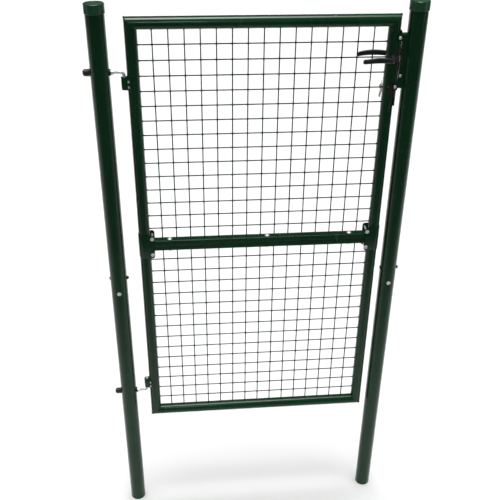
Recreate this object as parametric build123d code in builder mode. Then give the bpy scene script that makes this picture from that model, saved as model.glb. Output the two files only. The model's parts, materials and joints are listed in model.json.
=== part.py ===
from build123d import *
import os
from math import cos, radians, sin

# Garden gate: two concreted steel posts, a mesh leaf in two bolted halves, adjustable
# hinges and a cylinder lock. Millimetres. +X runs from the hinge post to the latch post,
# +Y to the back and +Z up. The origin is the centre of the hinge post's foot.

os.makedirs("parts", exist_ok=True)

# Posts
post_r = 30.0
tube_wall = 1.5
post_spacing = 1005.0
post_seam_z = 1060.0
post_top_z = 2110.0
sleeve_length = 240.0
splice_screw_z = post_seam_z + 22.0
splice_bolt_z = post_seam_z + 75.0
cap_r = 32.3
cap_height = 30.0
cap_wall = 3.0
cap_edge_r = 2.2
cap_ring_height = 12.0
cap_ring_wall = 2.5
splice_shank_r = 4.0
splice_screw_r = 2.9
splice_washer_r = 7.5
splice_washer_height = 1.2

# Leaf frame
frame_r = 20.0
hinge_stile_x = 104.0
lock_stile_x = 932.0
bottom_rail_z = 492.0
top_rail_z = 2052.0
joint_z = 1271.0
bar_depth = 30.0
bar_height = 20.0
spigot_length = 200.0
bar_bolt_xs = (193.0, 543.0, 843.0)
bar_bolt_r = 4.0
bar_bolt_tail = 9.0
bar_corner_r = 2.5

# Mesh
wire_r = 2.0
mesh_pitch = 50.0
mesh_centre_x = (hinge_stile_x + lock_stile_x) / 2
mesh_columns = 15
mesh_rows = 14
upper_first_row_z = 1985.0
lower_first_row_z = 1207.0

# Joint straps around the stiles
sheet = 2.0
strap_gap = 0.2
strap_height = 92.0
strap_reach = 35.0
strap_bolt_offset_z = 32.0
strap_bolt_reach = 27.0
strap_bolt_r = 3.0
strap_corner_r = 9.0

# Hinges
hinge_x = 75.0
rod_r = 5.0
upper_rod_z = 1900.0
lower_rod_z = 600.0
rod_bend_r = 12.0
barrel_height = 40.0
barrel_offset = 16.0
loop_r = 10.5
bush_r = loop_r - sheet - 0.05
running_gap = 0.05
rod_outer_end = -45.5
end_cap_r = 11.5
end_cap_x = -53.0
end_cap_round = 8.0
washer_r = 11.0
washer_face_x = 35.0
nut_r = 9.2
nut_height = 8.0
outer_washer_r = 9.4
saddle_seat = 3.0
pin_overrun = 3.0
rivet_angle = 45.0
rivet_spacing = 18.0
rivet_r = 2.0
flange_edge_x = 6.0

# Lock
spindle_z = 1935.0
key_z = 1843.0
forend_width = 24.0
forend_thick = 3.0
forend_x = lock_stile_x + frame_r
forend_low_z = 1773.0
forend_high_z = 2021.0
case_back_x = lock_stile_x - 17.0
case_half_y = 7.0
case_wall = 1.5
case_low_z = 1800.0
case_high_z = 2000.0
bolt_half_y = 5.0
latch_low_z = spindle_z + 8.5
latch_high_z = spindle_z + 29.0
latch_throw = 9.0
deadbolt_low_z = 1894.0
deadbolt_high_z = 1916.0
cam_r = 12.5
arm_length = 17.0
follower_r = 7.5
follower_hub_r = 7.0
rose_r = 14.0
neck_r = 8.0
lever_y = 48.0
lever_reach = 100.0
clip_zs = (2001.5, 1842.0)
clip_height = 23.0
clip_screw_x = lock_stile_x + 15.5
clip_screw_r = 2.4
clip_edge_x = lock_stile_x + 9.8
rose_face_y = 27.0
lever_bend_r = 14.0
lever_thick = 10.0
lever_height = 17.0
socket_depth = 24.0
spindle_side = 7.9
spindle_half_y = 34.0
grub_y = 31.0
grub_r = 2.45
lever_tip_bend = (18.0, 9.0)
lever_corner_r = 4.5
lever_root_y = 12.0
arm_nose_r = 2.5
arm_play = 0.8
follower_half_y = 7.2
arm_thick = 2.6
arm_width = 4.4

# Profile cylinder and keys
cylinder_r = 8.5
cylinder_drop = 24.5
cylinder_half_y = 30.5
cam_half_y = 4.9
plug_r = 5.0
cylinder_neck = 10.0
fixing_screw_dz = -18.0
fixing_screw_r = 2.45
cam_hub_r = 8.3
cam_width = 5.0
key_thick = 2.2
blade_half_z = 3.9
blade_length = 26.0
bow_r = 11.5
bow_hole_r = 3.5
bow_hole_offset = 5.5
key_home_y = 50.0
key_drawn = 18.0
key_hole_y = key_home_y + key_drawn
ring_r = 11.0
ring_wire_r = 0.8
ring_clearance = 1.7
spare_key_gap = 1.6
spare_key_leans = (12.0, -6.0)

# Heads and nuts, each as (radius, height)
splice_head = (7.5, 3.5)
splice_nut = (7.5, 5.0)
splice_screw_head = (5.5, 3.0)
rivet_head = (4.0, 1.8)
strap_head = (7.0, 3.5)
strap_nut = (5.8, 5.0)
bar_head = (8.5, 4.5)
bar_nut = (7.5, 6.5)
clip_head = (5.0, 3.0)
fixing_head = (4.2, 1.0)
keep_head = (5.0, 3.0)
keep_nut_size = (4.6, 4.0)

# Keep on the latch post
keep_x = 959.0
keep_bolt_x = 964.0
keep_width = 24.0
keep_low_z = 1834.0
keep_high_z = 2010.0
keep_bolt_z = 1876.0
keep_bolt_r = 2.5


def save(piece, node):
    """Label a finished sub-part and write it under its node's name."""
    piece.part.label = node
    export_step(piece.part, f"parts/{node}.step")


def bore(point, direction, radius, length):
    """Cut a round hole, centred on point, from the part being built."""
    with Locations(Plane(origin=point, z_dir=direction)):
        Cylinder(radius, length, mode=Mode.SUBTRACT)


def cylinder_cut(length):
    """Cut the profile cylinder's keyhole-shaped opening from the part being built."""
    bore((lock_stile_x, 0, key_z), (0, 1, 0), cylinder_r + 0.2, length)
    with Locations((lock_stile_x, 0, key_z)):
        Box(
            cylinder_neck + 0.4,
            length,
            cylinder_drop + 0.2,
            align=(Align.CENTER, Align.CENTER, Align.MAX),
            mode=Mode.SUBTRACT,
        )


def bar(point, direction, radius, length, mode=Mode.ADD):
    """Add a round bar that starts at point to the part being built."""
    with Locations(Plane(origin=point, z_dir=direction)):
        Cylinder(radius, length, align=(Align.CENTER, Align.CENTER, Align.MIN), mode=mode)


def hexagon(point, direction, radius, height):
    """Add a hexagon head or nut that starts at point to the part being built."""
    with BuildSketch(Plane(origin=point, z_dir=direction)) as outline:
        RegularPolygon(radius, 6)
    extrude(to_extrude=outline.sketch, amount=height)


def dome(point, direction, radius, height):
    """Add a low round head, curved on its outer face, to the part being built."""
    plane = Plane(origin=point, z_dir=direction)
    ball_r = (radius**2 + height**2) / (2 * height)
    with Locations(plane.offset(height - ball_r)):
        ball = Sphere(ball_r, mode=Mode.PRIVATE)
    with Locations(plane):
        disc = Cylinder(
            radius, height, align=(Align.CENTER, Align.CENTER, Align.MIN), mode=Mode.PRIVATE
        )
    add(ball & disc)


# ---------------------------------------------------------------- posts


def post_tube(x, low_z, high_z):
    """One length of round post tube."""
    with BuildPart() as tube:
        with BuildSketch(Plane.XY.offset(low_z)):
            with Locations((x, 0)):
                Circle(post_r)
                Circle(post_r - tube_wall, mode=Mode.SUBTRACT)
        extrude(amount=high_z - low_z)
    return tube


def splice_holes(x):
    """Cut the two joint holes of a post's splice from the part being built."""
    bore((x, -post_r, splice_screw_z), (0, 1, 0), splice_screw_r + 0.1, post_r)
    bore((x, 0, splice_bolt_z), (1, 0, 0), splice_shank_r + 0.1, 3 * post_r)


def lower_post(x):
    """The buried and lower half of a post."""
    return post_tube(x, 0, post_seam_z)


def upper_post(x):
    """The upper half of a post, with its splice holes."""
    tube = post_tube(x, post_seam_z, post_top_z)
    with tube:
        splice_holes(x)
    return tube


for side, x in (("hinge", 0.0), ("latch", post_spacing)):
    lower = lower_post(x)
    upper = upper_post(x)
    if side == "hinge":
        with lower:
            bore((x, 0, lower_rod_z), (1, 0, 0), rod_r + 0.2, 3 * post_r)
        with upper:
            bore((x, 0, upper_rod_z), (1, 0, 0), rod_r + 0.2, 3 * post_r)
    save(lower, f"{side}_post_lower")
    save(upper, f"{side}_post_upper")

with BuildPart() as post_sleeves:
    with BuildSketch(Plane.XY.offset(post_seam_z - sleeve_length / 2)):
        with Locations((0, 0), (post_spacing, 0)):
            Circle(post_r - tube_wall - 0.1)
            Circle(post_r - 2 * tube_wall - 0.5, mode=Mode.SUBTRACT)
    extrude(amount=sleeve_length)
    for x in (0, post_spacing):
        splice_holes(x)
save(post_sleeves, "post_sleeves")

# A cap's skirt grips the outside of its post and an inner ring centres it.
with BuildPart() as post_caps:
    for x in (0, post_spacing):
        top_z = post_top_z + cap_wall
        bar((x, 0, top_z - cap_height), (0, 0, 1), cap_r, cap_height)
    rims = post_caps.edges().filter_by(GeomType.CIRCLE).group_by(Axis.Z)[-1]
    fillet(rims, cap_edge_r)
    for x in (0, post_spacing):
        bore((x, 0, post_top_z - cap_height), (0, 0, 1), post_r + 0.05, 2 * cap_height)
        ring_r_out = post_r - tube_wall - 0.4
        with Locations((x, 0, post_top_z - cap_ring_height / 2)):
            Cylinder(ring_r_out, cap_ring_height)
            Cylinder(ring_r_out - cap_ring_wall, cap_ring_height, mode=Mode.SUBTRACT)
save(post_caps, "post_caps")

with BuildPart() as splice_bolts:
    for x in (0, post_spacing):
        bar((x - post_r, 0, splice_bolt_z), (1, 0, 0), splice_shank_r, 2 * post_r + 2)
        dome((x - post_r, 0, splice_bolt_z), (-1, 0, 0), *splice_head)
save(splice_bolts, "splice_bolts")

with BuildPart() as splice_nuts:
    for x in (post_r, post_spacing + post_r):
        hexagon((x, 0, splice_bolt_z), (1, 0, 0), *splice_nut)
        bore((x, 0, splice_bolt_z), (1, 0, 0), splice_shank_r + 0.05, 30)
save(splice_nuts, "splice_nuts")

with BuildPart() as splice_screws:
    for x in (0, post_spacing):
        washer_y = -post_r - 0.2
        head_y = washer_y - splice_washer_height
        bar((x, -post_r + 12, splice_screw_z), (0, -1, 0), splice_screw_r, 13)
        bar((x, washer_y, splice_screw_z), (0, -1, 0), splice_washer_r, splice_washer_height)
        dome((x, head_y, splice_screw_z), (0, -1, 0), *splice_screw_head)
save(splice_screws, "splice_screws")

# ---------------------------------------------------------------- hinges


def hinge_rod(rod_z, leg):
    """A threaded rod through the post, bent into a hinge pin; leg is +1 up or -1 down."""
    pin_end_z = rod_z + leg * (barrel_offset + barrel_height + pin_overrun)
    with BuildPart() as rod:
        with BuildLine() as path:
            Line((rod_outer_end, 0, rod_z), (hinge_x - rod_bend_r, 0, rod_z))
            TangentArc(
                (hinge_x - rod_bend_r, 0, rod_z),
                (hinge_x, 0, rod_z + leg * rod_bend_r),
                tangent=(1, 0, 0),
            )
            Line((hinge_x, 0, rod_z + leg * rod_bend_r), (hinge_x, 0, pin_end_z))
        with BuildSketch(Plane(origin=(rod_outer_end, 0, rod_z), z_dir=(1, 0, 0))):
            Circle(rod_r)
        sweep(path=path.wires()[0])
        chamfer(rod.edges().filter_by(GeomType.CIRCLE).sort_by(Axis.X)[0], 0.8)
    return rod


save(hinge_rod(upper_rod_z, -1), "upper_hinge_rod")
save(hinge_rod(lower_rod_z, 1), "lower_hinge_rod")

with BuildPart() as hinge_washers:
    for z in (lower_rod_z, upper_rod_z):
        front_x = post_r - saddle_seat
        bar((front_x, 0, z), (1, 0, 0), washer_r, washer_face_x - front_x)
        bar((-front_x, 0, z), (-1, 0, 0), outer_washer_r, 2 * saddle_seat)
        bore((0, 0, z), (0, 0, 1), post_r, 3 * washer_r)
        bore((0, 0, z), (1, 0, 0), rod_r + 0.2, 3 * post_r)
save(hinge_washers, "hinge_saddle_washers")

with BuildPart() as hinge_nuts:
    for z in (lower_rod_z, upper_rod_z):
        hexagon((washer_face_x, 0, z), (1, 0, 0), nut_r, nut_height)
        hexagon((-post_r - saddle_seat, 0, z), (-1, 0, 0), nut_r, nut_height)
        bore((0, 0, z), (1, 0, 0), rod_r, 4 * post_r)
save(hinge_nuts, "hinge_nuts")

with BuildPart() as end_caps:
    for z in (lower_rod_z, upper_rod_z):
        seat_x = -post_r + saddle_seat
        bar((seat_x, 0, z), (-1, 0, 0), end_cap_r, seat_x - end_cap_x)
        tips = end_caps.edges().filter_by(GeomType.CIRCLE).group_by(Axis.X)[0]
        fillet(tips.filter_by(lambda edge: edge.radius > end_cap_r - 0.1), end_cap_round)
        bore((-post_r, 0, z), (1, 0, 0), nut_r + 0.3, 2 * (nut_height + 8))
        bore((0, 0, z), (0, 0, 1), post_r + 0.05, 3 * end_cap_r)
save(end_caps, "hinge_end_caps")


lower_barrel_z = lower_rod_z + barrel_offset
upper_barrel_z = upper_rod_z - barrel_offset - barrel_height
rivet_zs = [
    low_z + barrel_height / 2 + offset
    for low_z in (lower_barrel_z, upper_barrel_z)
    for offset in (-rivet_spacing / 2, rivet_spacing / 2)
]


def rivet_seats(radius):
    """Points at radius from the hinge stile's axis, each with its direction outwards."""
    seats = []
    for z in rivet_zs:
        for side in (-1, 1):
            direction = (-cos(radians(rivet_angle)), side * sin(radians(rivet_angle)), 0)
            point = (hinge_stile_x + radius * direction[0], radius * direction[1], z)
            seats.append((point, direction))
    return seats


def hinge_eye(low_z):
    """The folded eye on the hinge stile: a loop round the bush and two riveted flanges."""
    flange_r = frame_r + strap_gap
    with BuildPart() as eye:
        with BuildSketch(Plane.XY.offset(low_z)):
            with Locations((hinge_x, 0)):
                Circle(loop_r)
                Rectangle(2 * loop_r, 2 * loop_r, align=(Align.MIN, Align.CENTER))
            with Locations((hinge_stile_x, 0)):
                Circle(flange_r + sheet)
            with Locations((hinge_x, 0)):
                Circle(loop_r - sheet, mode=Mode.SUBTRACT)
                Rectangle(
                    2 * loop_r,
                    2 * (loop_r - sheet),
                    align=(Align.MIN, Align.CENTER),
                    mode=Mode.SUBTRACT,
                )
            with Locations((hinge_stile_x, 0)):
                Circle(flange_r, mode=Mode.SUBTRACT)
            with Locations((hinge_stile_x - flange_edge_x, 0)):
                Rectangle(
                    4 * frame_r, 4 * frame_r, align=(Align.MIN, Align.CENTER), mode=Mode.SUBTRACT
                )
        extrude(amount=barrel_height)
        for point, direction in rivet_seats(frame_r):
            bore(point, direction, rivet_r, 10)
    return eye


save(hinge_eye(lower_barrel_z), "lower_hinge_eye")
save(hinge_eye(upper_barrel_z), "upper_hinge_eye")

with BuildPart() as hinge_bushes:
    for low_z in (lower_barrel_z, upper_barrel_z):
        bar((hinge_x, 0, low_z), (0, 0, 1), bush_r, barrel_height)
        bore((hinge_x, 0, low_z), (0, 0, 1), rod_r + running_gap, 3 * barrel_height)
save(hinge_bushes, "hinge_bushes")

with BuildPart() as rivets:
    for point, direction in rivet_seats(frame_r - 4):
        bar(point, direction, rivet_r, 4 + strap_gap + sheet + 0.5)
    for point, direction in rivet_seats(frame_r + strap_gap + sheet):
        dome(point, direction, *rivet_head)
save(rivets, "hinge_rivets")

# ---------------------------------------------------------------- leaf frame


def frame_tube(start, direction, length):
    """A straight length of the leaf's round frame tube."""
    with BuildPart() as tube:
        with BuildSketch(Plane(origin=start, z_dir=direction)):
            Circle(frame_r)
            Circle(frame_r - tube_wall, mode=Mode.SUBTRACT)
        extrude(amount=length)
    return tube


def rail(z, outward):
    """The leaf's top or bottom rail, mitred at both ends; outward is +1 up or -1 down."""
    start_x = hinge_stile_x - frame_r
    tube = frame_tube((start_x, 0, z), (1, 0, 0), lock_stile_x + frame_r - start_x)
    with tube:
        for x, side in ((hinge_stile_x, 1), (lock_stile_x, -1)):
            mitre = Plane(origin=(x, 0, z), z_dir=(side, 0, outward))
            split(bisect_by=mitre, keep=Keep.TOP)
    return tube


def stile(x, z, outward):
    """Half a stile, from the joint to the mitre on the rail at height z."""
    inward = 1 if x < mesh_centre_x else -1
    tube = frame_tube((x, 0, joint_z), (0, 0, outward), abs(z - joint_z) + frame_r)
    with tube:
        mitre = Plane(origin=(x, 0, z), z_dir=(inward, 0, outward))
        split(bisect_by=mitre, keep=Keep.BOTTOM)
    return tube


def mid_bar(low_z):
    """A rectangular tube between the stiles, coped to them, with three bolt holes."""
    middle = Plane(
        origin=(mesh_centre_x, 0, low_z + bar_height / 2), x_dir=(0, 1, 0), z_dir=(1, 0, 0)
    )
    with BuildPart() as tube:
        with BuildSketch(middle):
            RectangleRounded(bar_depth, bar_height, bar_corner_r)
            RectangleRounded(
                bar_depth - 2 * tube_wall,
                bar_height - 2 * tube_wall,
                bar_corner_r - tube_wall,
                mode=Mode.SUBTRACT,
            )
        extrude(amount=(lock_stile_x - hinge_stile_x) / 2, both=True)
        for x in (hinge_stile_x, lock_stile_x):
            bore((x, 0, low_z), (0, 0, 1), frame_r, 4 * bar_height)
        for x in bar_bolt_xs:
            bore((x, 0, low_z), (0, 0, 1), bar_bolt_r + 0.2, 4 * bar_height)
    return tube


save(rail(top_rail_z, 1), "top_rail")
save(rail(bottom_rail_z, -1), "bottom_rail")
save(mid_bar(joint_z), "upper_mid_bar")
save(mid_bar(joint_z - bar_height), "lower_mid_bar")

for height, outward, rail_z in (("upper", 1, top_rail_z), ("lower", -1, bottom_rail_z)):
    hinge_stile = stile(hinge_stile_x, rail_z, outward)
    with hinge_stile:
        for point, direction in rivet_seats(frame_r):
            bore(point, direction, rivet_r, 10)
    save(hinge_stile, f"{height}_hinge_stile")

save(stile(lock_stile_x, bottom_rail_z, -1), "lower_lock_stile")

upper_lock_stile = stile(lock_stile_x, top_rail_z, 1)
with upper_lock_stile:
    slot_height = case_high_z - case_low_z + 1
    with Locations((lock_stile_x + frame_r, 0, (case_high_z + case_low_z) / 2)):
        Box(2 * frame_r, 2 * case_half_y + 0.4, slot_height, mode=Mode.SUBTRACT)
    bore((lock_stile_x, 0, spindle_z), (0, 1, 0), neck_r + 2, 3 * frame_r)
    cylinder_cut(3 * frame_r)
    for z in clip_zs:
        bore((clip_screw_x, 0, z), (0, 1, 0), clip_screw_r, 3 * frame_r)
save(upper_lock_stile, "upper_lock_stile")

with BuildPart() as stile_spigots:
    with BuildSketch(Plane.XY.offset(joint_z - spigot_length / 2)):
        with Locations((hinge_stile_x, 0), (lock_stile_x, 0)):
            Circle(frame_r - tube_wall - 0.1)
            Circle(frame_r - 2 * tube_wall - 0.6, mode=Mode.SUBTRACT)
    extrude(amount=spigot_length)
save(stile_spigots, "stile_spigots")


def joint_strap(x):
    """The bent sheet that wraps a stile's outer half and clamps both mid bars."""
    inward = 1 if x < mesh_centre_x else -1
    inner_r = frame_r + strap_gap
    with BuildPart() as strap:
        with BuildSketch(Plane.XY.offset(joint_z - strap_height / 2)):
            with Locations((x, 0)):
                Circle(inner_r + sheet)
                with Locations((inward * strap_reach / 2, 0)):
                    Rectangle(strap_reach, 2 * (inner_r + sheet))
                Circle(inner_r, mode=Mode.SUBTRACT)
                with Locations((inward * strap_reach / 2, 0)):
                    Rectangle(strap_reach, 2 * inner_r, mode=Mode.SUBTRACT)
        extrude(amount=strap_height)
        ends = strap.edges().filter_by(Axis.Y)
        tips = ends.sort_by(Axis.X)[-4:] if inward > 0 else ends.sort_by(Axis.X)[:4]
        fillet(tips, strap_corner_r)
        for offset in (-strap_bolt_offset_z, strap_bolt_offset_z):
            bolt_x = x + inward * strap_bolt_reach
            bore((bolt_x, 0, joint_z + offset), (0, 1, 0), strap_bolt_r + 0.1, 4 * frame_r)
    return strap


save(joint_strap(hinge_stile_x), "hinge_joint_strap")
save(joint_strap(lock_stile_x), "lock_joint_strap")

strap_face = frame_r + strap_gap + sheet
strap_bolt_places = [
    (x, joint_z + offset)
    for x in (hinge_stile_x + strap_bolt_reach, lock_stile_x - strap_bolt_reach)
    for offset in (-strap_bolt_offset_z, strap_bolt_offset_z)
]
with BuildPart() as strap_bolts:
    for x, z in strap_bolt_places:
        bar((x, -strap_face, z), (0, 1, 0), strap_bolt_r, 2 * strap_face + 7)
        dome((x, -strap_face, z), (0, -1, 0), *strap_head)
save(strap_bolts, "strap_bolts")

with BuildPart() as strap_nuts:
    for x, z in strap_bolt_places:
        hexagon((x, strap_face, z), (0, 1, 0), *strap_nut)
        bore((x, strap_face, z), (0, 1, 0), strap_bolt_r, 20)
save(strap_nuts, "strap_nuts")

with BuildPart() as bar_bolts:
    for x in bar_bolt_xs:
        bar((x, 0, joint_z + bar_height), (0, 0, -1), bar_bolt_r, 2 * bar_height + bar_bolt_tail)
        dome((x, 0, joint_z + bar_height), (0, 0, 1), *bar_head)
save(bar_bolts, "mid_bar_bolts")

with BuildPart() as bar_nuts:
    for x in bar_bolt_xs:
        hexagon((x, 0, joint_z - bar_height), (0, 0, -1), *bar_nut)
        bore((x, 0, joint_z - bar_height), (0, 0, 1), bar_bolt_r, 30)
save(bar_nuts, "mid_bar_nuts")

# ---------------------------------------------------------------- mesh


def upright_wires(low_z, high_z):
    """The upright wires of one mesh panel, in front of the cross wires."""
    with BuildPart() as wires:
        for column in range(mesh_columns):
            x = mesh_centre_x + mesh_pitch * (column - (mesh_columns - 1) / 2)
            bar((x, -wire_r, low_z), (0, 0, 1), wire_r, high_z - low_z)
    return wires


def cross_wires(first_z):
    """The level wires of one mesh panel, from first_z downwards."""
    low_x = hinge_stile_x + frame_r
    with BuildPart() as wires:
        for row in range(mesh_rows):
            z = first_z - mesh_pitch * row
            bar((low_x, wire_r, z), (1, 0, 0), wire_r, lock_stile_x - frame_r - low_x)
    return wires


save(upright_wires(joint_z + bar_height, top_rail_z - frame_r), "upper_mesh_uprights")
save(cross_wires(upper_first_row_z), "upper_mesh_cross_wires")
save(upright_wires(bottom_rail_z + frame_r, joint_z - bar_height), "lower_mesh_uprights")
save(cross_wires(lower_first_row_z), "lower_mesh_cross_wires")

# ---------------------------------------------------------------- lock

latch_mid_z = (latch_low_z + latch_high_z) / 2
deadbolt_mid_z = (deadbolt_low_z + deadbolt_high_z) / 2
latch_height = latch_high_z - latch_low_z
deadbolt_height = deadbolt_high_z - deadbolt_low_z


def bolt_windows(x, thickness, side_gap, end_gap):
    """Cut the latch's and the deadbolt's windows from the part being built."""
    for z, height in ((latch_mid_z, latch_height), (deadbolt_mid_z, deadbolt_height)):
        with Locations((x, 0, z)):
            Box(
                thickness,
                2 * (bolt_half_y + side_gap),
                height + 2 * end_gap,
                mode=Mode.SUBTRACT,
            )


with BuildPart() as forend:
    height = forend_high_z - forend_low_z
    with Locations((forend_x + forend_thick / 2, 0, forend_low_z + height / 2)):
        Box(forend_thick, forend_width, height)
    fillet(forend.edges().filter_by(Axis.X), 3)
    bolt_windows(forend_x, 4 * forend_thick, 0.4, 0.4)
    bore((forend_x, 0, key_z + fixing_screw_dz), (1, 0, 0), fixing_screw_r + 0.15, 20)
save(forend, "lock_forend")

with BuildPart() as lock_case:
    depth = forend_x - case_back_x
    height = case_high_z - case_low_z
    centre = ((forend_x + case_back_x) / 2, 0, (case_high_z + case_low_z) / 2)
    with Locations(centre):
        Box(depth, 2 * case_half_y, height)
        with Locations((1, 0, 0)):
            Box(
                depth,
                2 * (case_half_y - case_wall),
                height - 2 * case_wall,
                mode=Mode.SUBTRACT,
            )
    bore((lock_stile_x, 0, spindle_z), (0, 1, 0), follower_hub_r + 0.05, 40)
    cylinder_cut(40)
save(lock_case, "lock_case")

# Each clip is a bent sheet that holds the forend against the stile.
with BuildPart() as lock_clips:
    web_x = forend_x + forend_thick + strap_gap
    leg_y = frame_r + strap_gap
    for z in clip_zs:
        for x, half_y, corner_r, mode in (
            (web_x + sheet, leg_y + sheet, 5, Mode.ADD),
            (web_x, leg_y, 3, Mode.SUBTRACT),
        ):
            with BuildSketch(Plane.XY.offset(z - clip_height / 2)) as plan:
                with Locations((x, 0)):
                    Rectangle(x - clip_edge_x, 2 * half_y, align=(Align.MAX, Align.CENTER))
                fillet(plan.vertices().group_by(Axis.X)[-1], corner_r)
            extrude(amount=clip_height, mode=mode)
        bore((clip_screw_x, 0, z), (0, 1, 0), clip_screw_r, 4 * frame_r)
save(lock_clips, "lock_clips")

with BuildPart() as clip_screws:
    for z in clip_zs:
        for side in (-1, 1):
            face_y = side * strap_face
            bar((clip_screw_x, side * (case_half_y + 1), z), (0, side, 0), clip_screw_r, 14)
            dome((clip_screw_x, face_y, z), (0, side, 0), *clip_head)
save(clip_screws, "clip_screws")

with BuildPart() as lock_cylinder:
    front = Plane(origin=(lock_stile_x, -cylinder_half_y, key_z), x_dir=(1, 0, 0), z_dir=(0, 1, 0))
    with BuildSketch(front):
        Circle(cylinder_r)
        with Locations((0, cylinder_drop / 2)):
            Rectangle(cylinder_neck, cylinder_drop)
    extrude(amount=2 * cylinder_half_y)
    bore((lock_stile_x, 0, key_z), (0, 1, 0), cam_r + 0.5, 2 * cam_half_y + 0.4)
    bore((lock_stile_x, 0, key_z), (0, 1, 0), plug_r + running_gap, 3 * cylinder_half_y)
    bore((lock_stile_x, 0, key_z + fixing_screw_dz), (1, 0, 0), fixing_screw_r + 0.05, 20)
save(lock_cylinder, "lock_cylinder")


def plug(low_y, high_y, slot_low_y, slot_high_y):
    """One of the cylinder's turning plugs, with the slot for the key's blade."""
    with BuildPart() as core:
        bar((lock_stile_x, low_y, key_z), (0, 1, 0), plug_r, high_y - low_y)
        with Locations((lock_stile_x, (slot_low_y + slot_high_y) / 2, key_z)):
            Box(
                key_thick + 0.2,
                slot_high_y - slot_low_y,
                2 * blade_half_z + 0.2,
                mode=Mode.SUBTRACT,
            )
    return core


plug_end_y = cylinder_half_y + 0.4
slot_end_y = key_home_y - bow_hole_offset - bow_r - blade_length - 0.4
save(plug(-plug_end_y, -cam_half_y - 0.2, -plug_end_y, -slot_end_y), "lock_front_plug")
save(plug(cam_half_y + 0.2, plug_end_y, slot_end_y, plug_end_y), "lock_rear_plug")

with BuildPart() as cam:
    bar((lock_stile_x, -cam_half_y, key_z), (0, 1, 0), cam_hub_r, 2 * cam_half_y)
    with Locations((lock_stile_x, 0, key_z - cam_r / 2)):
        Box(cam_width, 2 * cam_half_y, cam_r)
    fillet(cam.edges().filter_by(Axis.Y).group_by(Axis.Z)[0], 2)
save(cam, "lock_cam")

with BuildPart() as fixing_screw:
    bar((lock_stile_x - 4, 0, key_z + fixing_screw_dz), (1, 0, 0), fixing_screw_r, 27)
    dome((forend_x + forend_thick, 0, key_z + fixing_screw_dz), (1, 0, 0), *fixing_head)
save(fixing_screw, "cylinder_fixing_screw")

with BuildPart() as roses:
    for side in (-1, 1):
        bar((lock_stile_x, side * 10, spindle_z), (0, side, 0), rose_r, rose_face_y - 10)
    rims = roses.edges().filter_by(GeomType.CIRCLE).group_by(Axis.Y)
    fillet(rims[0] + rims[-1], 2)
    bore((lock_stile_x, 0, spindle_z), (0, 0, 1), frame_r + 0.05, 4 * rose_r)
    bore((lock_stile_x, 0, spindle_z), (0, 1, 0), neck_r + running_gap, 4 * rose_face_y)
save(roses, "lever_roses")


def lever(side):
    """A lever handle bent towards the hinges; side is -1 in front or +1 behind."""
    out_y = lever_y - lever_bend_r
    tip_x = lock_stile_x - lever_reach
    bend_x, bend_y = lever_tip_bend
    with BuildPart() as handle:
        with BuildLine() as path:
            Line(
                (lock_stile_x, side * (rose_face_y + 0.5), spindle_z),
                (lock_stile_x, side * out_y, spindle_z),
            )
            TangentArc(
                (lock_stile_x, side * out_y, spindle_z),
                (lock_stile_x - lever_bend_r, side * lever_y, spindle_z),
                tangent=(0, side, 0),
            )
            Line(
                (lock_stile_x - lever_bend_r, side * lever_y, spindle_z),
                (tip_x + bend_x, side * lever_y, spindle_z),
            )
            TangentArc(
                (tip_x + bend_x, side * lever_y, spindle_z),
                (tip_x, side * (lever_y - bend_y), spindle_z),
                tangent=(-1, 0, 0),
            )
        start = Plane(
            origin=(lock_stile_x, side * (rose_face_y + 0.5), spindle_z),
            x_dir=(1, 0, 0),
            z_dir=(0, side, 0),
        )
        with BuildSketch(start):
            RectangleRounded(lever_thick, lever_height, lever_corner_r)
        sweep(path=path.wires()[0])
        root = (lock_stile_x, side * lever_root_y, spindle_z)
        bar(root, (0, side, 0), neck_r, out_y + 4 - lever_root_y)
        with Locations(root):
            Box(8, 2 * socket_depth, 8, mode=Mode.SUBTRACT)
        bore((lock_stile_x, side * grub_y, spindle_z - neck_r), (0, 0, 1), grub_r + 0.05, 10)
    return handle


save(lever(-1), "front_lever")
save(lever(1), "rear_lever")

with BuildPart() as spindle:
    with Locations((lock_stile_x, 0, spindle_z)):
        Box(spindle_side, 2 * spindle_half_y, spindle_side)
save(spindle, "spindle")

with BuildPart() as grub_screws:
    for side in (-1, 1):
        point = (lock_stile_x, side * grub_y, spindle_z - spindle_side / 2)
        bar(point, (0, 0, -1), grub_r, 3.6)
save(grub_screws, "lever_grub_screws")

with BuildPart() as follower:
    bar((lock_stile_x, -5.3, spindle_z), (0, 1, 0), follower_r, 10.6)
    hub_start = (lock_stile_x, -follower_half_y, spindle_z)
    bar(hub_start, (0, 1, 0), follower_hub_r, 2 * follower_half_y)
    with Locations((lock_stile_x, 0, spindle_z + arm_length / 2)):
        Box(arm_thick, arm_width, arm_length)
    nose_start = (lock_stile_x, -arm_width / 2, spindle_z + arm_length)
    bar(nose_start, (0, 1, 0), arm_nose_r, arm_width)
    with Locations((lock_stile_x, 0, spindle_z)):
        Box(8, 20, 8, mode=Mode.SUBTRACT)
save(follower, "lock_follower")

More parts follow.
